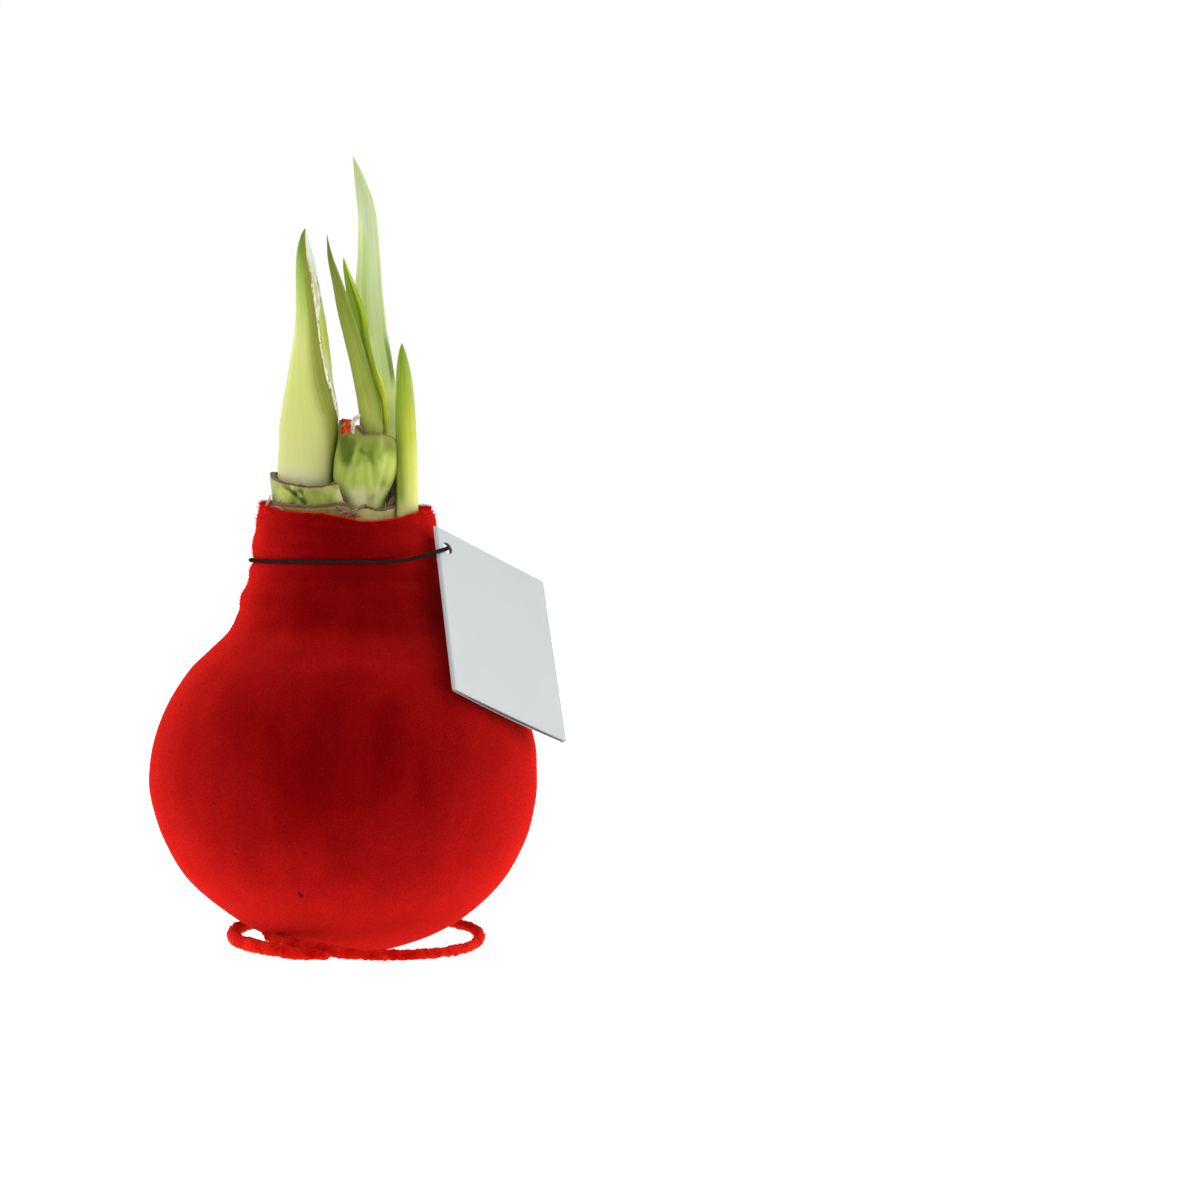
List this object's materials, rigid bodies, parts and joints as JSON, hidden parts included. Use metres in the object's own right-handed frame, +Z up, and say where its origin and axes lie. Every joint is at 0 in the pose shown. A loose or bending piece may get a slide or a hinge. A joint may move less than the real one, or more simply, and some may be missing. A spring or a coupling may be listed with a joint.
{
  "type": "coated amaryllis bulb",
  "caption": "Amaryllis bulb in a red velvet-coated wax shell on a flocked wire foot, with bud, young leaves, elastic cord and hang tag; it grows without a pot.",
  "frame": {"origin": "middle of the coat's flat rest spot, on the surface that the bulb stands on", "axes": "+Z up through the neck, -Y towards the front, where the coat's rim is lowest, +X towards the hang tag"},
  "size_m": [0.1028, 0.097, 0.1985],
  "materials": {
    "velvet": "short dense flock on wax, soft sheen",
    "bulb_flesh": "moist fleshy scales",
    "flocked_wire": "coarse flock over wire",
    "bud_skin": "waxy, finely veined lengthwise",
    "leaf_front_skin": "waxy leaf with purplish margins",
    "leaf_middle_skin": "waxy leaf, spotted margin",
    "leaf_inner_skin": "tender waxy leaf",
    "leaf_tall_skin": "waxy leaf with a pale bloom",
    "leaf_right_skin": "waxy leaf, whitish at its base",
    "sheath_skin": "creased waxy skin, mottled",
    "cut_scale": "creased fleshy scale with a brown cut edge",
    "pale_scale": "pale fleshy scale with a brown cut edge",
    "dry_scale": "dry papery skin",
    "elastic": "fine black elastic cord",
    "silver_card": "satin silver card"
  },
  "bodies": {
    "root": {"velvet_coat": "velvet", "bulb": "bulb_flesh", "wire_foot": "flocked_wire", "flower_bud": "bud_skin", "leaf_front": "leaf_front_skin", "leaf_middle": "leaf_middle_skin", "leaf_inner": "leaf_inner_skin", "leaf_tall": "leaf_tall_skin", "leaf_right": "leaf_right_skin", "leaf_sheath": "sheath_skin", "bud_collar": "cut_scale", "lower_scale_left": "cut_scale", "lower_scale_right": "pale_scale", "lower_scale_back": "pale_scale", "dry_scale_left": "dry_scale", "dry_scale_right": "dry_scale", "elastic_cord": "elastic", "hang_tag": "silver_card"}
  },
  "joints": []
}
